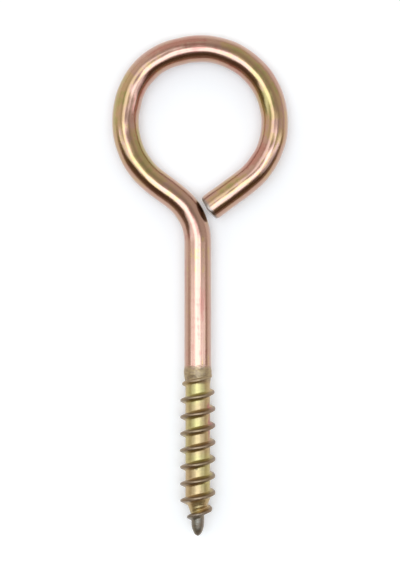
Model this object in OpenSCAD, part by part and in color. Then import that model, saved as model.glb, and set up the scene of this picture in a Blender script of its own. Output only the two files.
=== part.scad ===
// Screw eye: one length of steel wire, bent into an eye at one end and rolled
// into a coarse wood thread with a blunt point at the other. It lies on its side
// on z = 0, with the eye towards +Y, the point towards -Y and the eye's plane level
// but for the small tilt at which the far end of the eye and the thread both touch.

/* [Wire] */
// Diameter of the wire
wire_d = 6; // [5.6:0.05:6.6]
// Rounding on the edge of the wire's cut end, on the outside and inside of the eye
cut_round = 0.9; // [0.2:0.05:1.5]
// Angle at which both halves of the cut end fall away from the ridge between them
cut_bevel = 7; // [2:0.5:15]

/* [Eye] */
// Inside diameter of the eye, across its open side
eye_d = 27; // [22:0.5:34]
// How much tighter than the open side the shoulder beside the crown is bent
shoulder_tight = 2.2; // [0:0.1:4]
// How much wider than the open side the cheek above the neck is bent
cheek_wide = 0.3; // [0:0.1:3]
// Angle through which the shoulder is bent
shoulder_turn = 62; // [45:1:80]
// Angle through which the cheek is bent
cheek_turn = 67; // [50:1:80]
// Straight wire left between the shoulder and the open side, at the crown
crown_straight = 1.6; // [0.5:0.1:4]
// Straight wire left between the cheek and the shoulder
cheek_straight = 1; // [0.5:0.1:4]
// Angle at which both legs of the eye run in to the shank
leg_angle = 53.5; // [48:0.5:60]
// How far the centre of the open side lies beside the axis of the shank
eye_offset = 0.6; // [0:0.1:2]
// Radius of the bend in the neck, along the middle of the wire
neck_r = 12.8; // [9:0.1:16]
// Gap between the ridge of the cut end and the neck
end_gap = 0.8; // [0.6:0.1:3]

/* [Shank] */
// Plain shank, from the neck bend to the rolled part
shank_len = 28; // [10:0.1:60]
// Diameter of the swelling where the rolling begins
swell_d = 6.16; // [6:0.02:6.8]
// Length of the swelling at its full diameter
swell_len = 1.2; // [0.5:0.1:3]
// Length over which the swelling narrows to the thread's core
neck_down = 2.1; // [1:0.1:4]

/* [Thread] */
// Diameter over the crests of the thread
thread_d = 7.84; // [7:0.02:9]
// Diameter of the core between the crests
core_d = 5.46; // [5:0.02:5.8]
// Distance from one turn of the thread to the next
pitch = 3.7; // [2.8:0.1:5]
// Length of the core at its full diameter, after the swelling
core_len = 25.4; // [12:0.1:50]
// Width of the flat on the crest
crest_w = 0.26; // [0.1:0.02:0.5]
// Rounding from the flat on the crest to the flanks
crest_round = 0.13; // [0.05:0.01:0.2]
// Angle between a flank and a plane square to the axis
flank_angle = 24; // [15:1:32]
// Turns over which the thread rises out of the blank
rise_turns = 2.4; // [1:0.1:4]
// Turns over which the thread sinks away at the point
fall_turns = 0.4; // [0.2:0.05:1]
// Direction in which the thread begins, counted round the axis from +X
start_angle = 216; // [0:1:360]

/* [Point] */
// Length of the cone from the core to the nub
cone_len = 3.8; // [2:0.1:8]
// Diameter of the nub at the end of the cone
nub_d = 2.8; // [1.6:0.1:4]
// Straight length of the nub
nub_len = 1.5; // [0.5:0.1:4]
// Length of the nub's rounded nose
nose_len = 3; // [1.5:0.1:5]
// Height of the thread on the cone and the nub
point_depth = 1.3; // [0.8:0.05:1.6]

/* [Hidden] */
$fn = 96;

// Straights are drawn this much thinner than the bends and run this far into them,
// so that no two walls of the joined lengths lie in one surface.
ease = 0.005;
seat = 0.05;

// How deep the root of the thread is sunk into the core, and how far under the
// surface its crest begins and ends. The crest's rounding stays above the root.
bury = 0.35;
skin = 0.1;
steps_per_turn = 40;
nose_steps = 10;
round_steps = 6;
// Power that makes the nose fuller than a cone and slimmer than an ellipse
nose_power = 0.75;

wire_r = wire_d / 2;
side_r = eye_d / 2 + wire_r;
shoulder_r = side_r - shoulder_tight;
cheek_r = side_r + cheek_wide;
side_turn = 180 + 2 * leg_angle - cheek_turn - shoulder_turn;

// A place on the middle of the wire is [x, y, heading], with the heading counted from
// +Y towards -X. A bend is [straight before it, radius, turn], with a left turn positive.
function ahead(heading) = [-sin(heading), cos(heading)];
function left_of(heading) = [-cos(heading), -sin(heading)];
function forward(place, length) =
    let (p = [place.x, place.y] + length * ahead(place.z)) [p.x, p.y, place.z];
function bend_centre(place, bend) =
    let (start = forward(place, bend[0]))
    [start.x, start.y] + sign(bend[2]) * bend[1] * left_of(start.z);
function after(place, bend) =
    let (heading = place.z + bend[2])
    let (p = bend_centre(place, bend) - sign(bend[2]) * bend[1] * left_of(heading))
    [p.x, p.y, heading];
function places(place, bends, i = 0) =
    i == len(bends) ? [place] : concat([place], places(after(place, bends[i]), bends, i + 1));

// The bends from the top of the shank round to the free leg, for a given neck leg
function eye_bends(neck_leg) = [
    [0, neck_r, leg_angle],
    [neck_leg, cheek_r, -cheek_turn],
    [cheek_straight, shoulder_r, -shoulder_turn],
    [crown_straight, side_r, -side_turn]
];
function side_centre(bends) = bend_centre(places([0, 0, 0], bends)[3], bends[3]);

// The neck leg moves the eye sideways by its sine, which gives the length that
// brings the centre of the open side to its offset.
neck_leg = (side_centre(eye_bends(0)).x - eye_offset) / sin(leg_angle);
bends = eye_bends(neck_leg);
stops = places([0, 0, 0], bends);
eye_centre = side_centre(bends);
neck_centre = bend_centre(stops[0], bends[0]);
cheek_centre = bend_centre(stops[1], bends[1]);

// The free leg runs on until the ridge of its cut end is end_gap from the neck
leg_start = stops[len(bends)];
to_neck = neck_centre - [leg_start.x, leg_start.y];
along_leg = to_neck * ahead(leg_start.z);
beside_leg = to_neck * left_of(leg_start.z);
keep_off = neck_r + wire_r + end_gap;
free_leg = along_leg - sqrt(keep_off ^ 2 - beside_leg ^ 2);

// Distances down the axis from the neck bend
swell_end = shank_len + swell_len;
core_start = swell_end + neck_down;
core_end = core_start + core_len;
cone_end = core_end + cone_len;
nub_end = cone_end + nub_len;
point_end = nub_end + nose_len;

thread_r = thread_d / 2;
nub_r = nub_d / 2;
swell_blend = 0.3;
// Radius of the turned body at points down the axis, as [distance, radius]
body_outline = [
    [-seat, wire_r - ease],
    [shank_len, wire_r - ease],
    [shank_len + swell_blend, swell_d / 2],
    [swell_end, swell_d / 2],
    [core_start, core_d / 2],
    [core_end, core_d / 2],
    [cone_end, nub_r],
    [nub_end, nub_r]
];
function body_r(z) = lookup(z, body_outline);

thread_turns = (nub_end - shank_len) / pitch;
function crest_r(t) =
    let (z = shank_len + pitch * t)
    let (rise = wire_r - skin + (thread_r - wire_r + skin) * sin(90 * min(1, t / rise_turns)))
    let (fall = (point_depth + skin) * min(1, (thread_turns - t) / fall_turns) - skin)
    min(rise, thread_r, body_r(z) + min(point_depth, fall));

// The lying pose: the eye's far end and the first full crest rest on z = 0
far_end = eye_centre.y + side_r;
full_crest = shank_len + pitch * rise_turns;
reach = far_end + full_crest;
rest_tilt = acos(wire_r / norm([thread_r, reach])) - atan2(reach, thread_r);
rest_z = wire_r + far_end * sin(rest_tilt);
mid_x = (eye_centre.x + side_r + cheek_centre.x - cheek_r) / 2;
mid_y = ((far_end - point_end) * cos(rest_tilt) + wire_r) / 2;

// Outline of the cut end, with its ridge at the given length along +Y
function cut_outline(length, side) =
    let (inset = side - cut_round)
    let (level = length - inset * tan(cut_bevel) - cut_round / cos(cut_bevel))
    let (corner = [for (i = [0:round_steps])
        let (a = (90 - cut_bevel) * i / round_steps)
        [inset + cut_round * cos(a), level + cut_round * sin(a)]])
    concat(corner, [[0, length]], [for (i = [round_steps:-1:0]) [-corner[i].x, corner[i].y]]);

// A rod along +Z, pinched off at its far end by two blades that leave a low ridge
// across the rod. The outline of the cut stands clear of the rod's wall and start.
module pinched_rod(length, radius) {
    side = radius + seat;
    intersection() {
        cylinder(h = length + radius, r = radius);
        rotate([90, 0, 0])
            linear_extrude(height = 2 * wire_d, center = true)
                polygon(concat([[-side, -radius], [side, -radius]], cut_outline(length, side)));
    }
}

// The straight before a bend, seated in the bends on both sides of it
module straight(place, length) {
    translate([place.x, place.y, 0])
        rotate([-90, 0, place.z])
            translate([0, 0, -seat])
                cylinder(h = length + 2 * seat, r = wire_r - ease);
}

module bend_of_wire(place, bend) {
    centre = bend_centre(place, bend);
    first = bend[2] > 0 ? place.z : place.z + 180;
    translate([centre.x, centre.y, 0])
        rotate([0, 0, first])
            rotate_extrude(angle = bend[2])
                translate([bend[1], 0])
                    circle(r = wire_r);
}

module eye() {
    for (i = [0:len(bends) - 1]) {
        if (bends[i][0] > 0)
            straight(stops[i], bends[i][0]);
        bend_of_wire(stops[i], bends[i]);
    }
    translate([leg_start.x, leg_start.y, 0])
        rotate([-90, 0, leg_start.z])
            translate([0, 0, -seat])
                pinched_rod(free_leg + seat, wire_r - ease);
}

// The turned body from the neck to the point, along +Z
module body() {
    nose = [for (i = [1:nose_steps])
        let (u = sin(90 * i / nose_steps))
        [nub_r * (1 - u ^ 2) ^ nose_power, nub_end + nose_len * u]];
    side = [for (p = body_outline) [p[1], p[0]]];
    rotate_extrude()
        polygon(concat([[0, -seat]], side, nose));
}

// Section of the ridge after t turns, as points in space from the upper root round
// the crest to the lower root
function ridge_section(t) =
    let (z = shank_len + pitch * t)
    let (a = start_angle + 360 * t)
    let (top = crest_r(t))
    let (edge = top - crest_round)
    let (half = crest_w / 2)
    let (root = body_r(z) - bury)
    let (foot = half + crest_round + max(0, edge - root) * tan(flank_angle))
    let (shape = [
        [-foot, body_r(z - foot) - bury],
        [-half - crest_round, edge],
        [-half, top],
        [half, top],
        [half + crest_round, edge],
        [foot, body_r(z + foot) - bury]])
    [for (p = shape) [p[1] * cos(a), p[1] * sin(a), z + p[0]]];

// The right-handed ridge of the thread, along +Z
module ridge() {
    steps = ceil(thread_turns * steps_per_turn);
    corners = len(ridge_section(0));
    points = [for (i = [0:steps]) each ridge_section(thread_turns * i / steps)];
    sides = [for (i = [0:steps - 1], j = [0:corners - 1])
        let (here = corners * i)
        let (next = here + corners)
        let (k = (j + 1) % corners)
        each [[here + j, next + k, next + j], [here + j, here + k, next + k]]];
    upper_end = [for (j = [corners - 1:-1:0]) j];
    lower_end = [for (j = [0:corners - 1]) corners * steps + j];
    polyhedron(points = points, faces = concat([upper_end], sides, [lower_end]));
}

module screw_eye() {
    color("darkkhaki")
        translate([-mid_x, -mid_y, rest_z])
            rotate([-rest_tilt, 0, 0])
                union() {
                    eye();
                    rotate([90, 0, 0]) {
                        body();
                        ridge();
                    }
                }
}

screw_eye();
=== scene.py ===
"""Screw eye: the skin of the bent and rolled wire, its yellow-passivated finish, and the stage."""

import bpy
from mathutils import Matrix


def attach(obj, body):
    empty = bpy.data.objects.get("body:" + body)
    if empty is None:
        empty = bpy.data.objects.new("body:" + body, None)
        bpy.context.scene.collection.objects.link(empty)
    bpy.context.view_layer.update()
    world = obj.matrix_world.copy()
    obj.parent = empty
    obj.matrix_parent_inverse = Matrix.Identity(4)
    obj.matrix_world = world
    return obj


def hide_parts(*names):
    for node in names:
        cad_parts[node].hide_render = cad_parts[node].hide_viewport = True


bl_info = {
    "name": "Screw Eye",
    "version": (1, 0, 0),
    "blender": (4, 5, 0),
    "location": "View3D > Sidebar > Screw Eye",
    "description": "A screw eye bent and rolled from one wire, zinc plated and yellow passivated",
    "category": "Object",
}

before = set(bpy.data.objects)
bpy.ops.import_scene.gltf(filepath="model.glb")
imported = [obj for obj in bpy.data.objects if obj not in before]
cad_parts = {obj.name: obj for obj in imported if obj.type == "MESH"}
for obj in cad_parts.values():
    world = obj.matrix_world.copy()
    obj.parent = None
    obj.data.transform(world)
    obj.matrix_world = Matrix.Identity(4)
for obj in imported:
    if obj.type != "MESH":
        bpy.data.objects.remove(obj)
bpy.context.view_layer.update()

from math import acos, atan, atan2, ceil, cos, hypot, pi, radians, sin, tan

import bpy
import numpy as np
from bpy.props import FloatProperty, FloatVectorProperty, PointerProperty

MM = 0.001


def length(name, description, mm):
    """A length held in metres, given here in millimetres."""
    return FloatProperty(
        name=name, description=description, default=mm * MM, min=0.0,
        precision=5, subtype="DISTANCE", unit="LENGTH",
    )


def angle(name, description, degrees):
    """An angle held in radians, given here in degrees."""
    return FloatProperty(
        name=name, description=description, default=radians(degrees),
        subtype="ANGLE", unit="ROTATION",
    )


def colour(name, description, rgb):
    """A linear colour."""
    return FloatVectorProperty(
        name=name, description=description, default=rgb, size=3,
        min=0.0, max=1.0, subtype="COLOR",
    )


def factor(name, description, value, top=1.0):
    """A plain number from 0 up to top."""
    return FloatProperty(name=name, description=description, default=value, min=0.0, max=top)


# Sizes, colours and lamps

class EyeSizes(bpy.types.PropertyGroup):
    """The wire and its bends, from the shank round to the cut end"""

    wire_d: length("Wire", "Diameter of the wire", 6.0)
    neck_r: length("Neck radius", "Radius of the bend at the neck", 12.8)
    neck_turn: angle("Neck turn", "Turn of the neck, to the left", 53.5)
    neck_leg: length("Neck leg", "Straight between the neck and the cheek", 5.11179)
    cheek_r: length("Cheek radius", "Radius of the bend above the neck", 16.8)
    cheek_turn: angle("Cheek turn", "Turn of the cheek, to the right", 67.0)
    cheek_straight: length("Cheek straight", "Straight between the cheek and the shoulder", 1.0)
    shoulder_r: length("Shoulder radius", "Radius of the tighter bend beside the crown", 14.3)
    shoulder_turn: angle("Shoulder turn", "Turn of the shoulder, to the right", 62.0)
    crown_straight: length("Crown straight", "Straight between the shoulder and the side", 1.6)
    side_r: length("Side radius", "Radius of the eye's open side", 16.5)
    side_turn: angle("Side turn", "Turn of the open side, to the right", 158.0)
    free_leg: length("Free leg", "Straight from the open side to the cut end", 10.311)
    cut_round: length("Cut rounding", "Rounding on both sides of the cut end", 0.9)
    cut_bevel: angle("Cut bevel", "Fall of the cut end from its ridge to both sides", 7.0)
    cut_edge: length("Cut edge", "Small rounding all round the cut end", 0.2)
    bend_ease: length("Bend ease", "Length over which one curvature turns into the next", 1.2)
    tool_marks: length("Tool marks", "Height of the rises and hollows left by the bending", 0.04)


class ThreadSizes(bpy.types.PropertyGroup):
    """The shank, the rolled thread and the point"""

    shank_len: length("Shank", "Plain shank below the neck", 28.0)
    swell_d: length("Swelling", "Diameter where the rolling begins", 6.16)
    swell_blend: length("Swelling blend", "Length over which the swelling rises", 0.3)
    swell_len: length("Swelling length", "Length of the swelling", 1.2)
    neck_down: length("Neck down", "Length from the swelling to the core", 2.1)
    thread_d: length("Thread", "Diameter over the crests", 7.84)
    core_d: length("Core", "Diameter between the crests", 5.46)
    pitch: length("Pitch", "From one turn to the next", 3.7)
    core_len: length("Core length", "Length of the core at its full diameter", 25.4)
    crest_w: length("Crest flat", "Width of the flat on the crest", 0.30)
    crest_round: length("Crest rounding", "Rounding beside the flat", 0.17)
    flank_angle: angle("Flank angle", "Between a flank and a plane square to the axis", 24.0)
    rise_turns: factor("Rise", "Turns over which the thread rises", 2.4, 10.0)
    fall_turns: factor("Fall", "Turns over which the thread sinks away", 0.4, 10.0)
    start_angle: angle("Start", "Where the thread begins, round the axis from +X", 216.0)
    cone_len: length("Cone", "Length of the cone", 3.8)
    nub_d: length("Nub", "Diameter of the nub", 2.8)
    nub_len: length("Nub length", "Straight length of the nub", 1.5)
    nose_len: length("Nose", "Length of the rounded nose", 3.0)
    nose_power: factor("Nose fullness", "Power of the nose's outline, 0.5 for an ellipse", 0.55, 2.0)
    point_depth: length("Point depth", "Height of the thread on the cone and nub", 1.3)
    root_fillet: length("Root fillet", "Rounding where a flank meets the core", 0.22)
    crest_wander: length("Crest wander", "How far the crest strays up and down", 0.05)
    fold_height: length("Fold height", "Height of the fold the rolling leaves on the cone", 0.13)
    fold_width: length("Fold width", "Half the width of that fold", 0.27)
    fold_up: length("Fold place", "How far up from the last crest's side the fold lies", 1.2)
    fold_slant: factor("Fold slant", "Slant of the fold as a share of the thread's", 0.75)


class FinishSettings(bpy.types.PropertyGroup):
    """Colours and gloss of the passivated zinc"""

    red: colour("Red", "The film where it is thinnest", (0.45, 0.19, 0.13))
    pink: colour("Pink", "The film at its usual thickness", (0.48, 0.265, 0.178))
    gold: colour("Gold", "The film where it is thicker", (0.48, 0.29, 0.13))
    olive: colour("Olive", "The film at its thickest", (0.39, 0.29, 0.09))
    lime: colour("Lime", "The film on the thread's core", (0.51, 0.43, 0.16))
    peach: colour("Peach", "The film on the core where it is thinner", (0.51, 0.355, 0.165))
    # Mauve is also the colour that the ripples' hollows are darkened towards as painted shade.
    mauve: colour("Mauve", "The film on the crests and flanks", (0.24, 0.16, 0.10))
    band: colour("Band", "The film where the rolling begins", (0.43, 0.33, 0.17))
    dull: colour("Dull zinc", "Where the point has lost its film", (0.21, 0.19, 0.155))
    # Near-black colour painted as the shade of a small nick under the sixth crest.
    nick_shade: colour("Nick_shade", "The burr under the sixth crest", (0.05, 0.035, 0.02))
    coat: factor("Coat", "Weight of the clear film over the colour", 0.8)
    coat_loss: factor("Coat loss", "Share of the coat that the rolled thread has lost", 0.7)
    gloss: factor("Roughness", "Roughness of the drawn wire", 0.21)
    rolled: factor("Rolled roughness", "Roughness of the rolled thread", 0.41)


class StageSettings(bpy.types.PropertyGroup):
    """Floor, lamps and camera"""

    floor: colour("Floor", "Colour of the floor", (0.97, 0.93, 0.86))
    floor_glow: factor("Floor glow", "Light that the seen floor adds to the lamps' light", 0.16)
    left_side: factor("Left side", "Light from the left on the eye's side", 0.93, 10.0)
    right_side: factor("Right side", "Light from the right on the eye's side", 0.70, 10.0)
    top_share: factor("Top share", "How much of that light is left straight above", 0.6)
    dark_side: colour("Dark side", "Light from all round on the point's side", (0.11, 0.07, 0.035))
    low_light: colour("Low light", "Light from just over the floor on the point's side",
                      (0.42, 0.34, 0.29))
    lamp_colour: colour("Lamp colour", "Colour of the lamps", (0.71, 0.83, 1.0))
    overhead: factor("Overhead", "Radiance of the lamp over the part", 3.8, 50.0)
    overhead_low: factor("Overhead low", "Radiance of the dim strip below that lamp", 0.7, 50.0)
    left: factor("Left", "Radiance of the long lamp on the left", 2.1, 50.0)
    right: factor("Right", "Radiance of the long lamp on the right", 2.4, 50.0)
    right_low: factor("Right low", "Radiance of the dim lamp on the right towards the point",
                      1.0, 50.0)
    back: factor("Back", "Radiance of the lamp towards the eye", 1.75, 50.0)
    lamp_height: length("Lamp height", "From the floor to the lamps", 500.0)
    camera_height: length("Camera height", "From the floor to the camera", 353.5)
    frame_height: length("Frame height", "Height of the picture at the wire", 126.65)
    wire_level: length("Wire level", "Height of the wire's middle over the floor", 3.5)


# The middle of the wire

# Step along it at which the curvature is summed
PATH_STEP = 0.02 * MM


def wire_path(eye):
    """The middle of the wire from just below the neck to the cut end.

    Every straight has curvature 0 and every bend one over its radius, positive to the left.
    The curvature is averaged over the ease, its running sum is the heading, and the running
    sum of the heading's direction is the place. The distance counts from the neck."""
    bends = [
        (eye.bend_ease, 0.0), (eye.neck_r * eye.neck_turn, 1 / eye.neck_r),
        (eye.neck_leg, 0.0), (eye.cheek_r * eye.cheek_turn, -1 / eye.cheek_r),
        (eye.cheek_straight, 0.0), (eye.shoulder_r * eye.shoulder_turn, -1 / eye.shoulder_r),
        (eye.crown_straight, 0.0), (eye.side_r * eye.side_turn, -1 / eye.side_r),
        (eye.free_leg, 0.0),
    ]
    ends = np.cumsum([run for run, _ in bends])
    curves = np.array([curve for _, curve in bends])
    along = np.arange(0.0, ends[-1], PATH_STEP)
    curve = curves[np.searchsorted(ends, along, side="right").clip(0, len(bends) - 1)]
    window = np.hanning(2 * int(eye.bend_ease / PATH_STEP) + 1)
    curve = np.convolve(curve, window / window.sum(), mode="same")
    heading = np.concatenate([[0.0], np.cumsum(curve[:-1] * PATH_STEP)])
    x = np.concatenate([[0.0], np.cumsum(-np.sin(heading[:-1]) * PATH_STEP)])
    y = np.concatenate([[0.0], np.cumsum(np.cos(heading[:-1]) * PATH_STEP)]) - eye.bend_ease
    return along - eye.bend_ease, x, y, heading


# The turned body and its ridge, with z counted down the axis from the neck

# How far under the skin the ridge starts and ends
RIDGE_START = 0.1 * MM
# Size of the round at the crest's corners, in crest roundings
CREST_BLEND = 1.6
# The crest's wander: each wave's share and how often it comes in a turn, and its offset
WANDER_WAVES = ((1.0, 2.3, 0.0), (0.6, 5.1, 1.0))
# The cone's fold: angles round the axis in degrees, and how much of it shows at each
FOLD_ANGLES = (10, 50, 105, 140)
FOLD_SHARES = (0.0, 1.0, 1.0, 0.0)


def larger(first, second, blend):
    """The larger of two surfaces, with a round of the given size where they meet."""
    near = np.maximum(blend - np.abs(first - second), 0.0) / blend
    return np.maximum(first, second) + near * near * blend / 4


def thread_places(thread):
    """Distances down the axis at which the swelling, the run-out, the core, the cone and the
    nub end: the running sum of their lengths."""
    lengths = (thread.shank_len, thread.swell_len, thread.neck_down, thread.core_len,
               thread.cone_len, thread.nub_len)
    return [float(place) for place in np.cumsum(lengths)[1:]]


def body_radius(thread, wire_r, z):
    """Radius of the wire, swelling, core, cone and nub as straight lines between their ends,
    then the nose as the nub's radius times (1 - u squared) to the nose's power, with u from
    0 at the nub's end to 1 at the tip."""
    swell_end, core_start, core_end, cone_end, nub_end = thread_places(thread)
    swell_r, core_r, nub_r = thread.swell_d / 2, thread.core_d / 2, thread.nub_d / 2
    places = [0, thread.shank_len, thread.shank_len + thread.swell_blend, swell_end, core_start,
              core_end, cone_end, nub_end]
    radii = [wire_r, wire_r, swell_r, swell_r, core_r, core_r, nub_r, nub_r]
    u = ((z - nub_end) / thread.nose_len).clip(0.0, 1.0)
    return np.interp(z, places, radii) * (1 - u * u) ** thread.nose_power


def cone_fold(thread, z, around):
    """Height of the fold on the cone: a bell across its width, on a line that slants less
    than the last crest below it, fading in and out over the angles where it shows."""
    begin = thread.start_angle / (2 * pi)
    turns = (thread_places(thread)[-1] - thread.shank_len) / thread.pitch
    last = np.floor(turns + begin) - begin
    degrees = np.rad2deg(around) % 360
    turn = last + thread.fold_slant * degrees / 360
    across = (z - thread.shank_len - thread.pitch * turn + thread.fold_up) / thread.fold_width
    return (thread.fold_height * np.interp(degrees, FOLD_ANGLES, FOLD_SHARES)
            * np.exp(-across * across))


def crest_radius(thread, wire_r, turn):
    """Radius of the crest at a turn: a quarter sine wave as it rises, the thread's radius,
    then the body under it plus a depth that falls to nothing, and a slow wander."""
    turns = (thread_places(thread)[-1] - thread.shank_len) / thread.pitch
    thread_r = thread.thread_d / 2
    risen = (turn / thread.rise_turns).clip(0.0, 1.0)
    rise = wire_r - RIDGE_START + (thread_r - wire_r + RIDGE_START) * np.sin(pi / 2 * risen)
    left = ((turns - turn) / thread.fall_turns).clip(-1.0, 1.0)
    fall = (thread.point_depth + RIDGE_START) * left - RIDGE_START
    under = body_radius(thread, wire_r, thread.shank_len + thread.pitch * turn)
    top = np.minimum(np.minimum(rise, thread_r), under + np.minimum(thread.point_depth, fall))
    wander = sum(share * np.sin(2 * pi * turn * often + offset)
                 for share, often, offset in WANDER_WAVES)
    return top + thread.crest_wander / 2 * wander * risen


def skin_radius(thread, wire_r, z, around):
    """Radius of the finished skin at z and around, and of the body under it.

    The nearest turn of the ridge is the turn at this angle whose crest is closest in z. The
    ridge is its crest height less the distance from the crest over the tangent of the
    flank angle, rounded at the crest, and the skin is the larger of ridge and body."""
    body = body_radius(thread, wire_r, z)
    turns = (thread_places(thread)[-1] - thread.shank_len) / thread.pitch
    at_angle = (around - thread.start_angle) / (2 * pi)
    lag = (z - thread.shank_len) / thread.pitch - at_angle
    turn = at_angle + np.round(lag)
    off = np.abs(lag - np.round(lag)) * thread.pitch
    top = crest_radius(thread, wire_r, turn)
    foot = thread.crest_w / 2 + thread.crest_round
    flank = top - thread.crest_round + (foot - off) / tan(thread.flank_angle)
    ridge = -larger(-top, -flank, CREST_BLEND * thread.crest_round)
    ridge = np.where((turn < 0) | (turn > turns), body - thread.root_fillet, ridge)
    return larger(body + cone_fold(thread, z, around), ridge, thread.root_fillet), body


def rest_pose(eye, thread):
    """Turn about X and shift that lay the part on the floor, from its own sizes.

    The wire at the eye's far end and the first full crest both touch the floor, and the
    middle of the outline seen from above comes to the origin."""
    wire_r = eye.wire_d / 2
    legs = [(0.0, eye.neck_r, eye.neck_turn), (eye.neck_leg, eye.cheek_r, -eye.cheek_turn),
            (eye.cheek_straight, eye.shoulder_r, -eye.shoulder_turn),
            (eye.crown_straight, eye.side_r, -eye.side_turn)]
    x = y = heading = 0.0
    centres = []
    for straight, radius, turn in legs:
        x, y = x - straight * sin(heading), y + straight * cos(heading)
        hand = 1 if turn > 0 else -1
        middle_x, middle_y = x - hand * radius * cos(heading), y - hand * radius * sin(heading)
        centres.append((middle_x, middle_y))
        heading += turn
        x = middle_x + hand * radius * cos(heading)
        y = middle_y + hand * radius * sin(heading)
    _, cheek, _, side = centres
    far_end = side[1] + eye.side_r
    thread_r = thread.thread_d / 2
    reach = far_end + thread.shank_len + thread.pitch * thread.rise_turns
    tilt = acos(wire_r / hypot(thread_r, reach)) - atan2(reach, thread_r)
    point_end = thread_places(thread)[-1] + thread.nose_len
    shift = np.array([
        -(side[0] + eye.side_r + cheek[0] - eye.cheek_r) / 2,
        -((far_end - point_end) * cos(tilt) + wire_r) / 2,
        wire_r + far_end * sin(tilt),
    ])
    return tilt, shift


def laid_down(points, eye, thread):
    """Points of the standing part, turned by the tilt about X and shifted onto the floor."""
    tilt, shift = rest_pose(eye, thread)
    turn = np.array([[1, 0, 0], [0, cos(tilt), sin(tilt)], [0, -sin(tilt), cos(tilt)]])
    return points @ turn.T + shift


# The film

# Its usual thickness, from 0 for the thinnest to 1 for the thickest
USUAL_FILM = 0.35
# Slow waves: height, run along the wire in mm, times round it and offset
FILM_WAVES = ((0.05, 4.1, 2, 0.0), (0.04, 2.3, -1, 0.0))
# Where the film is thicker (+) or thinner (-) than usual: distance along the wire from the
# neck in mm, angle round the wire, half length in mm, half width as an angle, and by how much.
FILM_PATCHES = (
    (6, 70, 5, 60, -0.15), (13, 55, 9, 40, 0.16), (25, 40, 6, 45, 0.50),
    (20, 90, 9, 50, 0.12), (31, 130, 8, 50, 0.35), (36, 55, 7, 32, -0.22),
    (40, 145, 9, 45, 0.32), (43, 80, 8, 30, 0.12), (54, 130, 12, 40, -0.30),
    (66, 120, 4, 26, 0.42), (75, 105, 4, 30, 0.42), (73, 160, 5, 30, -0.25),
    (80, 60, 5, 40, 0.50), (88, 55, 3, 45, 0.30), (84, 110, 5, 40, 0.12),
    (88, 130, 2.5, 30, 0.3), (95, 45, 6, 40, -0.38), (103, 70, 6, 50, 0.36),
    (64, 250, 14, 40, 0.30), (30, 260, 12, 40, -0.25), (98, 240, 9, 40, 0.35),
    (-14, 250, 10, 50, 0.25), (-21, 95, 6, 30, 0.05), (-14, 90, 9, 60, -0.12),
    (-2, 70, 5, 50, 0.10), (6, 0, 4, 26, 0.45), (-40.5, 15, 2.2, 26, -0.55),
    (-36.5, 30, 1.5, 20, -0.3), (-44, 25, 1.5, 20, -0.25), (-33, 90, 1.6, 60, 0.10),
    (-36.6, 90, 1.6, 60, -0.09), (-40.5, 95, 1.6, 55, 0.12), (-44, 90, 1.6, 60, 0.07),
    (-47.8, 90, 1.6, 60, 0.11), (-51.5, 90, 1.6, 60, -0.04), (-55.2, 115, 1.6, 50, -0.13),
)


def slant_waves(waves, along, around):
    """The sum of sine waves that run slantwise along the wire and round it: each one's
    height times the sine of the distance over its run, its times round and its offset."""
    return sum(height * np.sin(along / run + times * around + offset)
               for height, run, times, offset in waves)


def film_thickness(before):
    """Thickness of the film at straight-wire places: its usual thickness, slow waves along
    and round the wire, and each patch as a bell over distance and angle."""
    along, around = before[:, 2] / MM, np.arctan2(before[:, 1], before[:, 0])
    film = USUAL_FILM + slant_waves(FILM_WAVES, along, around)
    for place, middle, half_length, half_width, amount in FILM_PATCHES:
        turn = (around - radians(middle) + pi) % (2 * pi) - pi
        film += amount * np.exp(-((along - place) / half_length) ** 2
                                - (turn / radians(half_width)) ** 2)
    return film


# Grids of vertex numbers

# Share of even spacing between the rows of a turn, the rest being cubed
EVEN_ROWS = 0.46
# Spacing of the rings on the plain shank and on the eye
SHANK_RING = 0.6 * MM
EYE_RING = 0.45 * MM
# Rings on the nose, drawn out to the cut end, round its edge and over its face
NOSE_RINGS = 14
DRAWN_RINGS = 8
EDGE_RINGS = 5
FACE_RINGS = 12
# Where rings start to be drawn out to the cut end, in cut roundings before it
DRAWN_OUT = 4
# How far past the wire's side the arc of the cut rounding ends
ARC_PAST_SIDE = 0.05 * MM
# The marks of the bending: height, run along the wire in mm, times round it and offset
TOOL_WAVES = ((0.42, 1.15, 2, 0.7), (0.25, 0.72, -1, 2.0), (0.30, 2.1, 3, 0.0),
              (0.22, 1.6, -2, 4.0))
# How far past the neck the marks reach their full height
MARKS_FADE = 6 * MM


def strip_faces(ids):
    """Faces between the rows of a grid of vertex numbers. A quad with a repeated corner,
    as at a pole or a wedge's tip, becomes a triangle."""
    quads = np.stack([ids[:-1, :-1], ids[:-1, 1:], ids[1:, 1:], ids[1:, :-1]], axis=-1)
    quads = quads.reshape(-1, 4)
    same = quads == np.roll(quads, -1, axis=1)
    plain = quads[~same.any(axis=1)]
    bent, twins = quads[same.any(axis=1)], same[same.any(axis=1)]
    keep = bent[twins.sum(axis=1) == 1]
    drop = twins[twins.sum(axis=1) == 1]
    return plain, keep[~drop].reshape(-1, 3)


class Numbers:
    """Hands out vertex numbers and keeps the two parameters of each vertex."""

    def __init__(self):
        self.count = 0
        self.first, self.second = [], []

    def take(self, first, second):
        """New numbers for a grid of vertices at the two parameters."""
        first, second = np.broadcast_arrays(first, second)
        ids = np.arange(self.count, self.count + first.size).reshape(first.shape)
        self.count += first.size
        self.first.append(first.ravel())
        self.second.append(second.ravel())
        return ids


def closed(ids):
    """A grid of rings with its first column repeated at the end."""
    return np.concatenate([ids, ids[:, :1]], axis=1)


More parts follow.
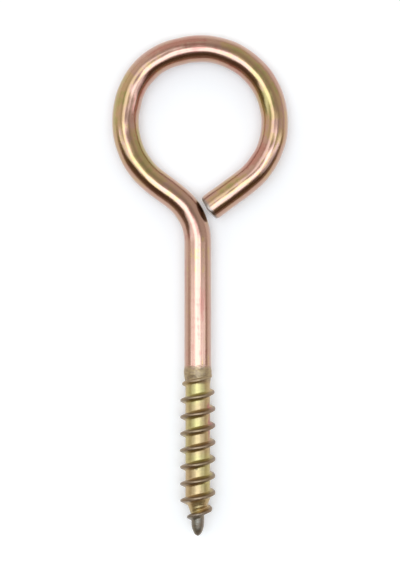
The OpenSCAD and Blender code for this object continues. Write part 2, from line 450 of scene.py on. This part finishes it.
def shank_grid(thread, around_count, rows, start_z):
    """Vertex numbers over z and angle for the shank, the thread and the point.

    Rings run down the plain shank. Round the thread the rows follow the ridge: column j of
    n is shifted down by j/n of the pitch, and the last column meets the first one pitch
    lower. A wedge of rows above and one below bring the slanting edge back to a ring."""
    numbers = Numbers()
    pitch = thread.pitch
    end_z = thread_places(thread)[-1]
    turns = ceil((end_z - thread.shank_len) / pitch)
    seam = thread.start_angle + 2 * pi * (end_z - thread.shank_len) / pitch
    column = np.arange(around_count)
    angles = seam + 2 * pi * column / around_count
    slope = pitch * column / around_count
    # Rows of one pitch, close together at the crest and wider apart on the core
    even = np.linspace(-1.0, 1.0, rows + 1)
    offsets = pitch / 2 * (EVEN_ROWS * even + (1 - EVEN_ROWS) * even ** 3)
    first_z = end_z - pitch * turns
    levels = np.concatenate(
        [first_z + pitch * turn + offsets[:-1] for turn in range(turns)] + [[end_z - pitch / 2]])
    share = (offsets - offsets[0]) / pitch
    tail = levels[-1] + pitch * share[1:]
    seam_ids = numbers.take(np.concatenate([levels, tail]), seam)
    spiral = np.zeros((len(levels), around_count + 1), int)
    spiral[:, 0] = seam_ids[:len(levels)]
    spiral[:, 1:-1] = numbers.take(levels[:, None] + slope[None, 1:], angles[None, 1:])
    spiral[:, -1] = seam_ids[rows:]
    # The ring above the wedge, and the plain rings above that
    top = np.zeros(around_count + 1, int)
    top[1:-1] = numbers.take(np.full(around_count - 1, levels[0]), angles[1:])
    top[[0, -1]] = seam_ids[0]
    upper = np.zeros((rows + 1, around_count + 1), int)
    upper[0], upper[-1] = top, spiral[0]
    upper[1:-1, 1:-1] = numbers.take(
        levels[0] + share[1:-1, None] * slope[None, 1:], angles[None, 1:])
    upper[:, 0] = seam_ids[0]
    upper[:, -1] = seam_ids[:rows + 1]
    plain_rings = max(3, int((levels[0] - start_z) / SHANK_RING))
    ring_z = np.linspace(start_z, levels[0], plain_rings)
    plain = closed(numbers.take(ring_z[:-1, None], angles[None, :]))
    shank = np.concatenate([plain, top[None, :]])
    # The ring below the wedge, and the rings of the nose down to its pole
    low_z = levels[-1] + pitch
    bottom = np.zeros(around_count + 1, int)
    bottom[1:-1] = numbers.take(np.full(around_count - 1, low_z), angles[1:])
    bottom[[0, -1]] = seam_ids[-1]
    lower = np.zeros((rows + 1, around_count + 1), int)
    lower[0], lower[-1] = spiral[-1], bottom
    lower[1:-1, 1:-1] = numbers.take(
        low_z - (1 - share[1:-1, None]) * (pitch - slope[None, 1:]), angles[None, 1:])
    lower[:, 0] = seam_ids[len(levels) - 1:]
    lower[:, -1] = seam_ids[-1]
    down = 1 - (1 - np.linspace(0.0, 1.0, NOSE_RINGS)) ** 2
    nose_z = low_z + (end_z + thread.nose_len - low_z) * down
    nose = closed(numbers.take(nose_z[1:-1, None], angles[None, :]))
    pole = numbers.take(nose_z[-1:], seam)
    nose = np.concatenate([bottom[None, :], nose, np.full((1, around_count + 1), pole[0])])
    z, around = np.concatenate(numbers.first), np.concatenate(numbers.second)
    return z, around, [shank, upper, spiral, lower, nose], angles


def cut_height(eye, reach, across):
    """How far the pinched end reaches at a distance across the wire from its ridge: two
    planes that fall away from the ridge by the bevel, then an arc of the cut rounding."""
    off = np.abs(across)
    centre = eye.wire_d / 2 + ARC_PAST_SIDE - eye.cut_round
    level = reach - centre * tan(eye.cut_bevel) - eye.cut_round / cos(eye.cut_bevel)
    arc = level + np.sqrt((eye.cut_round ** 2 - (off - centre) ** 2).clip(0.0))
    return np.where(off < centre + eye.cut_round * sin(eye.cut_bevel),
                    reach - off * tan(eye.cut_bevel), arc)


def tool_marks(along, around):
    """Rises and hollows of the bent wire, about -1 to 1: slanting waves along and round it,
    fading in past the neck."""
    return slant_waves(TOOL_WAVES, along / MM, around) * (along / MARKS_FADE).clip(0.0, 1.0)


def eye_rings(eye, start, reach, angles):
    """Distance along the wire and radius of every vertex of the eye, in rings.

    Even rings run up to a few cut roundings before the end. The next are drawn out to the
    cut end's height at their place across, go round its edge and close in on its face."""
    wire_r = eye.wire_d / 2
    last = reach - DRAWN_OUT * eye.cut_round
    rings = np.linspace(start, last, int((last - start) / EYE_RING))[1:]
    turn = np.linspace(0.0, pi / 2, EDGE_RINGS)
    edge_r = wire_r - eye.cut_edge * (1 - np.cos(turn))
    face_r = edge_r[-1] * (1 - np.linspace(0.0, 1.0, FACE_RINGS)[1:-1])
    cap_r = np.concatenate([edge_r, face_r])
    drop = np.concatenate([eye.cut_edge * (1 - np.sin(turn)), np.zeros(len(face_r))])
    cap = cut_height(eye, reach, cap_r[:, None] * np.cos(angles)[None, :]) - drop[:, None]
    drawn = last + (cap[:1] - last) * np.linspace(0.0, 1.0, DRAWN_RINGS)[1:-1, None]
    run = np.concatenate([np.repeat(rings[:, None], len(angles), axis=1), drawn, cap])
    radii = np.concatenate([np.full(len(rings) + len(drawn), wire_r), cap_r])
    marks = eye.tool_marks / wire_r * tool_marks(run, angles[None, :])
    return run, radii[:, None] * (1 + marks)


def wire_skin(eye, thread, around_count=128, rows=34):
    """Vertices, straight-wire places, the ridge's rise, quads and triangles.

    On the shank a vertex is the skin radius at its z and angle. On the eye it is the middle
    of the wire plus the wire's radius times cosine to the right and sine upwards, and the
    skin closes on a pole in the cut end's ridge. The straight-wire place is the same vertex
    before bending, with the distance from the neck as its third number. The rise is the
    skin's height over the body as a share of the thread's depth."""
    z, around, grids, angles = shank_grid(thread, around_count, rows, eye.bend_ease)
    radius, body = skin_radius(thread, eye.wire_d / 2, z, around)
    points = np.stack([radius * np.cos(around), -z, radius * np.sin(around)], axis=-1)
    before = np.stack([radius * np.cos(around), radius * np.sin(around), -z], axis=-1)
    rise = (radius - body) / (thread.thread_d / 2 - thread.core_d / 2)

    along, x, y, heading = wire_path(eye)
    run, radii = eye_rings(eye, along[0], along[-1], angles)
    side = radii * np.cos(angles)[None, :]
    lift = radii * np.sin(angles)[None, :]
    turned = np.interp(run, along, heading)
    eye_points = np.stack([
        np.interp(run, along, x) + side * np.cos(turned),
        np.interp(run, along, y) + side * np.sin(turned), lift], axis=-1)
    eye_before = np.stack([side, lift, run], axis=-1)
    base = len(points)
    ids = closed(base + np.arange(side.size).reshape(side.shape))
    pole = base + side.size
    ids = np.concatenate([grids[0][:1], ids, np.full((1, ids.shape[1]), pole)])
    end = np.array([[x[-1], y[-1], 0.0]])
    points = np.concatenate([points, eye_points.reshape(-1, 3), end])
    before = np.concatenate([before, eye_before.reshape(-1, 3), [[0, 0, along[-1]]]])
    rise = np.concatenate([rise, np.zeros(side.size + 1)])
    faces = [strip_faces(grid) for grid in grids + [ids[::-1]]]
    quads, triangles = (np.concatenate(kind) for kind in zip(*faces))
    return laid_down(points, eye, thread), before, rise, quads, triangles


def skin_mesh(name, points, before, rise, quads, triangles):
    """A smooth mesh that keeps on its vertices the straight-wire place, the ridge's rise and
    the film's thickness."""
    mesh = bpy.data.meshes.new(name)
    corners = np.concatenate([quads.ravel(), triangles.ravel()])
    starts = np.concatenate([np.arange(len(quads)) * 4,
                             len(quads) * 4 + np.arange(len(triangles)) * 3])
    mesh.vertices.add(len(points))
    mesh.vertices.foreach_set("co", points.astype(np.float32).ravel())
    mesh.loops.add(len(corners))
    mesh.loops.foreach_set("vertex_index", corners.astype(np.int32))
    mesh.polygons.add(len(starts))
    mesh.polygons.foreach_set("loop_start", starts.astype(np.int32))
    mesh.update(calc_edges=True)
    if mesh.validate():
        raise RuntimeError("the grids don't make a valid mesh")
    mesh.shade_smooth()
    place = mesh.attributes.new("straight_wire", "FLOAT_VECTOR", "POINT")
    place.data.foreach_set("vector", before.astype(np.float32).ravel())
    height = mesh.attributes.new("ridge_rise", "FLOAT", "POINT")
    height.data.foreach_set("value", rise.astype(np.float32))
    film = mesh.attributes.new("film", "FLOAT", "POINT")
    film.data.foreach_set("value", film_thickness(before).astype(np.float32))
    return mesh


# Nodes

class Tree:
    """Adds nodes to a tree in a row and links them."""

    def __init__(self, tree):
        self.tree = tree
        self.column = 0

    def add(self, kind, label="", **settings):
        """A new node with its settings."""
        node = self.tree.nodes.new(kind)
        node.label = label
        node.location = (self.column * 200, 0)
        self.column += 1
        for key, value in settings.items():
            setattr(node, key, value)
        return node

    def link(self, source, target):
        self.tree.links.new(source, target)

    def fill(self, socket, value):
        """Links a socket to an output, or sets it to a plain value."""
        if isinstance(value, bpy.types.NodeSocket):
            self.link(value, socket)
        else:
            socket.default_value = value

    def math(self, operation, *values, label="", clamp=False):
        """One step of arithmetic on numbers or outputs."""
        node = self.add("ShaderNodeMath", label, operation=operation, use_clamp=clamp)
        for socket, value in zip(node.inputs, values):
            self.fill(socket, value)
        return node.outputs[0]

    def scaled(self, vector, factors, label=""):
        """A vector with each of its numbers times its factor."""
        node = self.add("ShaderNodeVectorMath", label, operation="MULTIPLY")
        self.fill(node.inputs[0], vector)
        self.fill(node.inputs[1], factors)
        return node.outputs[0]

    def ramp(self, value, low, high, to_low=0.0, to_high=1.0, label=""):
        """A smooth step from to_low at low up to to_high at high."""
        node = self.add("ShaderNodeMapRange", label, interpolation_type="SMOOTHSTEP")
        for key, number in (("Value", value), ("From Min", low), ("From Max", high),
                            ("To Min", to_low), ("To Max", to_high)):
            self.fill(node.inputs[key], number)
        return node.outputs[0]

    def fade(self, value, place, reach, label=""):
        """A smooth step from 0 to 1 over the reach, given as two distances from a place."""
        return self.ramp(value, place + reach[0], place + reach[1], label=label)

    def mix(self, share, first, second, label=""):
        """A blend of two colours. The node's sockets share names, so they go by number."""
        node = self.add("ShaderNodeMix", label, data_type="RGBA")
        self.fill(node.inputs[0], share)
        self.fill(node.inputs[6], first)
        self.fill(node.inputs[7], second)
        return node.outputs[2]

    def noise(self, vector, scale, detail=2.0, roughness=0.5, label=""):
        """Noise from 0 to 1, about 0.5 on average."""
        node = self.add("ShaderNodeTexNoise", label)
        self.fill(node.inputs["Vector"], vector)
        self.fill(node.inputs["Scale"], scale)
        self.fill(node.inputs["Detail"], detail)
        self.fill(node.inputs["Roughness"], roughness)
        return node.outputs["Fac"]


def rgba(rgb):
    """A colour with a full fourth number, as colour sockets take it."""
    return (*rgb, 1.0)


# The finish

# Noise scales are in waves to a metre: two across the wire and one along it
FILM_STREAKS = (1300.0, 1300.0, 120.0)
FILM_BLOTCHES = (260.0, 260.0, 700.0)
BLOTCH_SHARE = 0.7
# Thicknesses over which one colour of the film turns into the next
RED_TO_PINK = (0.05, 0.30)
PINK_TO_GOLD = (0.42, 0.60)
GOLD_TO_OLIVE = (0.65, 0.85)
# The same on the rolled core
PEACH_TO_RED = (0.18, 0.0)
PEACH_TO_LIME = (0.30, 0.46)
# Factors on the straight-wire place that draw grain out along the wire and ripples round it
GRAIN_STRETCH = (1.0, 1.0, 0.016)
RIPPLE_STRETCH = (0.35, 0.35, 1.0)
COARSE_GRAIN = 900.0

# Fades between the finishes, as distances from where the shank, the core and the wire end
ROLLED_FADE = (-0.2 * MM, 0.9 * MM)
CONE_FADE = (0.0, 0.8 * MM)
CUT_FADE = (-1.1 * MM, -0.35 * MM)
# How far past the swelling the core's finish begins
CORE_LAG = 1.2 * MM
# How far before the cone's end bare zinc begins, and before the nub's end it is full
NUB_LEAD = (1.6 * MM, 0.6 * MM)
# Share of the ridge's full height over which it takes its own colour
RIDGE_FADE = (0.25, 0.80)
# The ragged edge where the rolling begins
RAG_SCALE = 2200.0
RAG_HEIGHT = 1.6 * MM
# How much each finish covers what is under it
BAND_COVER = 0.85
RIDGE_COVER = 0.85
CUT_BARE = 0.8
NUB_BARE = 0.9
# Painted shade in the ripples' hollows, and the ripple heights over which it shows
BAND_HOLLOW_SHADE = 0.45
ROLLED_HOLLOW_SHADE = 0.15
HOLLOWS = (0.58, 0.36)
# Painted shade of a small nick under the sixth crest, whose dent is not modelled: its straight-wire
# place, how far from it it begins and is full, and its cover
NICK_SHADE_PLACE = (-0.3 * MM, 3.0 * MM, -49.9 * MM)
NICK_SHADE_FADE = (0.6 * MM, 0.2 * MM)
NICK_SHADE_COVER = 0.8
# Roughness: how far the grain varies it, and what the band, the nub and the cut add
GRAIN_HEIGHTS = (0.3, 0.7)
GRAIN_GLOSS = (0.8, 1.2)
BAND_ROUGH = 0.08
CUT_ROUGH = 0.12
# Relief: heights as shares of the fine grain's, and the height of that
COARSE_DEPTH = 2.0
BAND_RIPPLES = 8.0
THREAD_RIPPLES = 2.0
RELIEF_STRENGTH = 0.5
RELIEF_HEIGHT = 0.02 * MM
COAT_IOR = 1.6
COAT_ROUGHNESS = 0.15


def new_group(name, inputs, outputs):
    """A shader node group with named sockets. Inputs are (name, kind, default)."""
    tree = bpy.data.node_groups.new(name, "ShaderNodeTree")
    for label, kind, default in inputs:
        socket = tree.interface.new_socket(label, in_out="INPUT", socket_type=kind)
        if default is not None:
            socket.default_value = default
    for label, kind in outputs:
        tree.interface.new_socket(label, in_out="OUTPUT", socket_type=kind)
    build = Tree(tree)
    return tree, build, build.add("NodeGroupInput"), build.add("NodeGroupOutput")


def film_group():
    """Passivation film: the film's thickness, with a noise drawn out along the wire and one
    drawn out round it laid over it, picks red, pink, gold and olive one after another."""
    white = (1, 1, 1, 1)
    tree, build, given, out = new_group(
        "Passivation film",
        [("Wire Place", "NodeSocketVector", None), ("Thickness", "NodeSocketFloat", USUAL_FILM),
         ("Unevenness", "NodeSocketFloat", 0.9),
         ("Red", "NodeSocketColor", white), ("Pink", "NodeSocketColor", white),
         ("Gold", "NodeSocketColor", white), ("Olive", "NodeSocketColor", white)],
        [("Color", "NodeSocketColor")],
    )
    place = given.outputs["Wire Place"]
    streaks = build.noise(build.scaled(place, FILM_STREAKS), 1.0, detail=3.0, label="Streaks")
    blotches = build.noise(build.scaled(place, FILM_BLOTCHES), 1.0, label="Blotches")
    blotches = build.math("MULTIPLY", build.math("SUBTRACT", blotches, 0.5), BLOTCH_SHARE)
    stray = build.math("ADD", build.math("SUBTRACT", streaks, 0.5), blotches)
    stray = build.math("MULTIPLY", stray, given.outputs["Unevenness"])
    thickness = build.math("ADD", stray, given.outputs["Thickness"])
    picked = given.outputs["Red"]
    for name, reach in (("Pink", RED_TO_PINK), ("Gold", PINK_TO_GOLD), ("Olive", GOLD_TO_OLIVE)):
        picked = build.mix(build.ramp(thickness, *reach), picked, given.outputs[name])
    build.link(picked, out.inputs["Color"])
    return tree


def grain_group():
    """Drawn grain: noise stretched about sixty times along the wire."""
    tree, build, given, out = new_group(
        "Drawn grain",
        [("Wire Place", "NodeSocketVector", None), ("Fineness", "NodeSocketFloat", 2600.0)],
        [("Height", "NodeSocketFloat")],
    )
    stretched = build.scaled(given.outputs["Wire Place"], GRAIN_STRETCH)
    grain = build.noise(stretched, given.outputs["Fineness"], detail=3.0, roughness=0.6)
    build.link(grain, out.inputs["Height"])
    return tree


def ripple_group():
    """Rolling ripples: noise stretched about three times round the wire."""
    tree, build, given, out = new_group(
        "Rolling ripples",
        [("Wire Place", "NodeSocketVector", None), ("Fineness", "NodeSocketFloat", 2400.0)],
        [("Height", "NodeSocketFloat")],
    )
    stretched = build.scaled(given.outputs["Wire Place"], RIPPLE_STRETCH)
    ripples = build.noise(stretched, given.outputs["Fineness"], roughness=0.6)
    build.link(ripples, out.inputs["Height"])
    return tree


def placed(build, tree, **values):
    """Outputs of a group placed in a tree, with its sockets filled by name."""
    node = build.add("ShaderNodeGroup", tree.name, node_tree=tree)
    for key, value in values.items():
        build.fill(node.inputs[key.replace("_", " ")], value)
    return node.outputs


def finish_masks(build, place, thread, reach):
    """Where each finish shows, from 0 to 1: the rolled part, the threaded part, the cone,
    the nub, the band where the rolling begins, and the cut end reach past the neck."""
    swell_end, core_start, core_end, cone_end, nub_end = thread_places(thread)
    split = build.add("ShaderNodeSeparateXYZ")
    build.link(place, split.inputs[0])
    along = split.outputs[2]
    down = build.math("MULTIPLY", along, -1.0, label="Down the axis")
    rag = build.noise(place, RAG_SCALE, label="Ragged edge")
    ragged = build.math("MULTIPLY_ADD", rag, RAG_HEIGHT, down)
    rolled = build.fade(ragged, thread.shank_len, ROLLED_FADE, label="Rolled part")
    core = build.ramp(down, swell_end + CORE_LAG, core_start, label="Threaded part")
    cone = build.fade(down, core_end, CONE_FADE, label="Cone")
    nub = build.ramp(down, cone_end - NUB_LEAD[0], nub_end - NUB_LEAD[1], label="Nub")
    band = build.math("SUBTRACT", rolled, core, clamp=True, label="Band where rolling begins")
    cut = build.fade(along, reach, CUT_FADE, label="Cut end")
    return rolled, core, cone, nub, band, cut


def zinc_colour(build, finish, place, ripples, rolled, core, nub, band, cut):
    """The film's colour, then the core's, the band's and the ridge's over it, bare zinc on
    the cut end and the nub, painted shade in the ripples' hollows, and a painted dark spot
    for the shade of a small nick under the sixth crest."""
    film = build.add("ShaderNodeAttribute", "Film thickness", attribute_name="film")
    thickness = film.outputs["Fac"]
    base = placed(build, film_group(), Wire_Place=place, Thickness=thickness,
                  Red=rgba(finish.red), Pink=rgba(finish.pink), Gold=rgba(finish.gold),
                  Olive=rgba(finish.olive))["Color"]
    tone = build.ramp(thickness, *PEACH_TO_LIME, label="Lime rather than peach")
    blush = build.ramp(thickness, *PEACH_TO_RED, label="Red rather than peach")
    on_core = build.mix(tone, rgba(finish.peach), rgba(finish.lime))
    on_core = build.mix(blush, on_core, rgba(finish.red))
    base = build.mix(core, base, on_core)
    base = build.mix(build.math("MULTIPLY", band, BAND_COVER), base, rgba(finish.band))
    rise = build.add("ShaderNodeAttribute", "Ridge rise", attribute_name="ridge_rise")
    ridge = build.ramp(rise.outputs["Fac"], *RIDGE_FADE, label="Ridge")
    base = build.mix(build.math("MULTIPLY", ridge, RIDGE_COVER), base, rgba(finish.mauve))
    bare = build.math("MULTIPLY_ADD", cut, CUT_BARE, build.math("MULTIPLY", nub, NUB_BARE))
    base = build.mix(bare, base, rgba(finish.dull))
    # Painted shade: the ripples' hollows darken towards mauve, most on the band and the nub and a
    # little on the rest of the rolled part.
    hollow_shade = build.math("MULTIPLY_ADD", build.math("ADD", band, nub), BAND_HOLLOW_SHADE,
                      build.math("MULTIPLY", rolled, ROLLED_HOLLOW_SHADE))
    shaded_hollows = build.math("MULTIPLY", build.ramp(ripples, *HOLLOWS, label="Hollows"), hollow_shade)
    base = build.mix(shaded_hollows, base, rgba(finish.mauve))
    # Painted shade: a near-black spot where a small nick sits under the sixth crest.
    away = build.add("ShaderNodeVectorMath", "From the burr", operation="DISTANCE")
    build.link(place, away.inputs[0])
    away.inputs[1].default_value = NICK_SHADE_PLACE
    nick_shade = build.ramp(away.outputs["Value"], *NICK_SHADE_FADE, 0.0, NICK_SHADE_COVER, label="Nick_shade")
    return build.mix(nick_shade, base, rgba(finish.nick_shade))


def zinc_roughness(build, finish, grain, rolled, nub, band, cut):
    """The drawn wire's roughness varied by its grain, raised to the rolled thread's on the
    rolled part and a little more on the band, the nub and the cut end."""
    low, high = (finish.gloss * share for share in GRAIN_GLOSS)
    rough = build.ramp(grain, *GRAIN_HEIGHTS, low, high)
    rough = build.math("ADD", rough, build.math("MULTIPLY", rolled, finish.rolled - finish.gloss))
    rough = build.math("MULTIPLY_ADD", build.math("ADD", band, nub), BAND_ROUGH, rough)
    return build.math("MULTIPLY_ADD", cut, CUT_ROUGH, rough)


def zinc_relief(build, grain, coarse, ripples, rolled, cone, band):
    """A bump from fine and coarse grain, with ripples on the rolled part that are deepest on
    the band and the cone."""
    lines = build.math("MULTIPLY_ADD", coarse, COARSE_DEPTH, grain, label="Draw lines")
    depth = build.math("MULTIPLY_ADD", build.math("ADD", band, cone), BAND_RIPPLES,
                       build.math("MULTIPLY", rolled, THREAD_RIPPLES), label="Ripple depth")
    bump = build.add("ShaderNodeBump", "Draw lines and ripples")
    bump.inputs["Strength"].default_value = RELIEF_STRENGTH
    bump.inputs["Distance"].default_value = RELIEF_HEIGHT
    build.link(build.math("MULTIPLY_ADD", depth, ripples, lines), bump.inputs["Height"])
    return bump.outputs[0]


def passivated_zinc(finish, thread, reach):
    """Yellow-passivated zinc on drawn and rolled wire that is reach long past the neck."""
    material = bpy.data.materials.new("yellow passivated zinc")
    material.use_nodes = True
    material.node_tree.nodes.clear()
    build = Tree(material.node_tree)
    place = build.add("ShaderNodeAttribute", "Straight-wire place",
                      attribute_name="straight_wire").outputs["Vector"]
    rolled, core, cone, nub, band, cut = finish_masks(build, place, thread, reach)
    drawn = grain_group()
    grain = placed(build, drawn, Wire_Place=place)["Height"]
    coarse = placed(build, drawn, Wire_Place=place, Fineness=COARSE_GRAIN)["Height"]
    ripples = placed(build, ripple_group(), Wire_Place=place)["Height"]
    base = zinc_colour(build, finish, place, ripples, rolled, core, nub, band, cut)
    rough = zinc_roughness(build, finish, grain, rolled, nub, band, cut)
    relief = zinc_relief(build, grain, coarse, ripples, rolled, cone, band)
    coat = build.math("MULTIPLY_ADD", rolled, -finish.coat_loss * finish.coat, finish.coat)

    metal = build.add("ShaderNodeBsdfPrincipled")
    metal.inputs["Metallic"].default_value = 1.0
    metal.inputs["Coat IOR"].default_value = COAT_IOR
    metal.inputs["Coat Roughness"].default_value = COAT_ROUGHNESS
    build.link(base, metal.inputs["Base Color"])
    build.link(rough, metal.inputs["Roughness"])
    build.link(coat, metal.inputs["Coat Weight"])
    build.link(relief, metal.inputs["Normal"])
    out = build.add("ShaderNodeOutputMaterial")
    build.link(metal.outputs[0], out.inputs["Surface"])
    return material


# Operators

class SCREWEYE_OT_wire(bpy.types.Operator):
    """Builds the bent and rolled wire as one closed skin, in place of the CAD solid"""

    bl_idname = "screweye.wire"
    bl_label = "Build the wire"

    def execute(self, context):
        scene = context.scene
        eye, thread = scene.screweye_eye, scene.screweye_thread
        skin = wire_skin(eye, thread)
        piece = bpy.data.objects.new("bent_wire", skin_mesh("bent_wire", *skin))
        scene.collection.objects.link(piece)
        reach = wire_path(eye)[0][-1]
        piece.data.materials.append(passivated_zinc(scene.screweye_finish, thread, reach))
        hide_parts("screw_eye")
        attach(piece, "root")
        return {"FINISHED"}


# The stage

# Where each lamp reaches in metres, seen from above: left, right, low and high. Each takes
# its radiance from the stage setting of its name.
LAMPS = {
    "overhead": (-0.23, 0.23, -0.21, 0.07),
    "overhead_low": (-0.16, 0.26, -0.32, -0.21),
    "left": (-1.00, -0.23, -0.12, 0.03),
    "right": (0.26, 1.20, -0.13, 0.01),
    "right_low": (0.44, 1.10, -0.31, -0.13),
    "back": (-0.27, -0.04, 0.07, 0.29),
}
# Half the floor's width, and the distances over which the seen floor turns white
FLOOR_REACH = 3.0
FAR_FLOOR = (0.25, 1.0)
PAPER_ROUGHNESS = 0.9
PAPER_SPECULAR = 0.1
# Directions, from -1 to 1, over which the light from all round changes
ABOVE_LOW_BAND = (0.02, 0.38)
LEFT_TO_RIGHT = (-0.5, 0.3)
EYE_SIDE = (-0.22, 0.10)
STRAIGHT_ABOVE = (0.55, 0.9)
SENSOR_HEIGHT_MM = 24.0


def soft_lamp(scene, name, left, right, low, high, radiance):
    """A flat lamp facing down, from left to right and low to high seen from above. Its power
    is radiance times area times pi, as a matt emitter gives."""
    lamp = bpy.data.lights.new(name, "AREA")
    lamp.shape = "RECTANGLE"
    lamp.size, lamp.size_y = right - left, high - low
    lamp.energy = radiance * lamp.size * lamp.size_y * pi
    lamp.color = scene.screweye_stage.lamp_colour
    thing = bpy.data.objects.new(name, lamp)
    scene.collection.objects.link(thing)
    thing.location = ((left + right) / 2, (low + high) / 2, scene.screweye_stage.lamp_height)


def paper_material(stage):
    """White paper. What the camera and reflections see of it also glows a little, and what
    the camera sees of it far away is white."""
    paper = bpy.data.materials.new("white paper")
    paper.use_nodes = True
    paper.node_tree.nodes.clear()
    build = Tree(paper.node_tree)
    skin = build.add("ShaderNodeBsdfPrincipled")
    skin.inputs["Base Color"].default_value = rgba(stage.floor)
    skin.inputs["Roughness"].default_value = PAPER_ROUGHNESS
    skin.inputs["Specular IOR Level"].default_value = PAPER_SPECULAR
    path = build.add("ShaderNodeLightPath")
    seen = build.math("MAXIMUM", path.outputs["Is Camera Ray"], path.outputs["Is Glossy Ray"])
    place = build.add("ShaderNodeNewGeometry")
    away = build.add("ShaderNodeVectorMath", "From the middle", operation="LENGTH")
    build.link(place.outputs["Position"], away.inputs[0])
    far = build.math("MULTIPLY", path.outputs["Is Camera Ray"],
                     build.ramp(away.outputs["Value"], *FAR_FLOOR, label="Far floor"))
    glow = build.add("ShaderNodeEmission")
    build.link(build.math("MULTIPLY_ADD", seen, stage.floor_glow, far), glow.inputs["Strength"])
    both = build.add("ShaderNodeAddShader")
    build.link(skin.outputs[0], both.inputs[0])
    build.link(glow.outputs[0], both.inputs[1])
    out = build.add("ShaderNodeOutputMaterial")
    build.link(both.outputs[0], out.inputs["Surface"])
    return paper


def studio_world(stage):
    """Light from all round: bright towards the eye, dark towards the point but for a low
    band over the floor, and white where the camera looks past the floor."""
    world = bpy.data.worlds.new("studio")
    world.use_nodes = True
    world.node_tree.nodes.clear()
    build = Tree(world.node_tree)
    way = build.add("ShaderNodeTexCoord")
    split = build.add("ShaderNodeSeparateXYZ")
    build.link(way.outputs["Generated"], split.inputs[0])
    dark = build.mix(build.ramp(split.outputs[2], *ABOVE_LOW_BAND, label="Above the low band"),
                     rgba(stage.low_light), rgba(stage.dark_side))
    pale = build.ramp(split.outputs[0], *LEFT_TO_RIGHT, stage.left_side, stage.right_side,
                      label="Left to right")
    eye_side = build.ramp(split.outputs[1], *EYE_SIDE, label="Eye's side")
    top = build.ramp(split.outputs[2], *STRAIGHT_ABOVE, 1.0, stage.top_share,
                     label="Less straight above")
    air = build.add("ShaderNodeBackground", "Light from all round")
    build.link(build.mix(eye_side, dark, build.math("MULTIPLY", pale, top)), air.inputs["Color"])
    seen = build.add("ShaderNodeBackground", "Backdrop")
    seen.inputs["Color"].default_value = (1, 1, 1, 1)
    seen.inputs["Strength"].default_value = 1.0
    path = build.add("ShaderNodeLightPath")
    both = build.add("ShaderNodeMixShader")
    build.link(path.outputs["Is Camera Ray"], both.inputs[0])
    build.link(air.outputs[0], both.inputs[1])
    build.link(seen.outputs[0], both.inputs[2])
    out = build.add("ShaderNodeOutputWorld")
    build.link(both.outputs[0], out.inputs["Surface"])
    return world


class SCREWEYE_OT_stage(bpy.types.Operator):
    """Builds the floor, the lamps, the world and the camera"""

    bl_idname = "screweye.stage"
    bl_label = "Build the stage"

    def execute(self, context):
        scene = context.scene
        stage = scene.screweye_stage
        reach = FLOOR_REACH
        corners = [(-reach, -reach, 0), (reach, -reach, 0), (reach, reach, 0), (-reach, reach, 0)]
        mesh = bpy.data.meshes.new("floor")
        mesh.from_pydata(corners, [], [(0, 1, 2, 3)])
        mesh.materials.append(paper_material(stage))
        floor = bpy.data.objects.new("floor", mesh)
        scene.collection.objects.link(floor)

        for name, place in LAMPS.items():
            soft_lamp(scene, name.replace("_", " "), *place, getattr(stage, name))
        scene.world = studio_world(stage)

        lens = bpy.data.cameras.new("camera")
        lens.sensor_fit = "VERTICAL"
        lens.sensor_height = SENSOR_HEIGHT_MM
        lens.angle_y = 2 * atan(stage.frame_height / 2 / (stage.camera_height - stage.wire_level))
        camera = bpy.data.objects.new("camera", lens)
        scene.collection.objects.link(camera)
        camera.location = (0.0, 0.0, stage.camera_height)
        scene.camera = camera
        scene.view_settings.view_transform = "Standard"
        return {"FINISHED"}


class SCREWEYE_PT_panel(bpy.types.Panel):
    """Lists the sizes, the finish and the stage, with a button for each operator"""

    bl_label = "Screw Eye"
    bl_idname = "SCREWEYE_PT_panel"
    bl_space_type = "VIEW_3D"
    bl_region_type = "UI"
    bl_category = "Screw Eye"

    def draw(self, context):
        for group in GROUPS:
            settings = getattr(context.scene, GROUPS[group])
            box = self.layout.box()
            box.label(text=group.__name__)
            for key in group.__annotations__:
                box.prop(settings, key)
        self.layout.operator(SCREWEYE_OT_wire.bl_idname)
        self.layout.operator(SCREWEYE_OT_stage.bl_idname)


GROUPS = {
    EyeSizes: "screweye_eye",
    ThreadSizes: "screweye_thread",
    FinishSettings: "screweye_finish",
    StageSettings: "screweye_stage",
}
CLASSES = [*GROUPS, SCREWEYE_OT_wire, SCREWEYE_OT_stage, SCREWEYE_PT_panel]


def register():
    """Registers the classes and keeps each group of settings on the scene."""
    for cls in CLASSES:
        bpy.utils.register_class(cls)
    for group, name in GROUPS.items():
        setattr(bpy.types.Scene, name, PointerProperty(type=group))


def unregister():
    """Takes the settings and the classes away again."""
    for name in GROUPS.values():
        delattr(bpy.types.Scene, name)
    for cls in reversed(CLASSES):
        bpy.utils.unregister_class(cls)


def main():
    """Registers the classes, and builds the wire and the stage."""
    register()
    bpy.ops.screweye.wire()
    bpy.ops.screweye.stage()


if __name__ == "__main__":
    main()
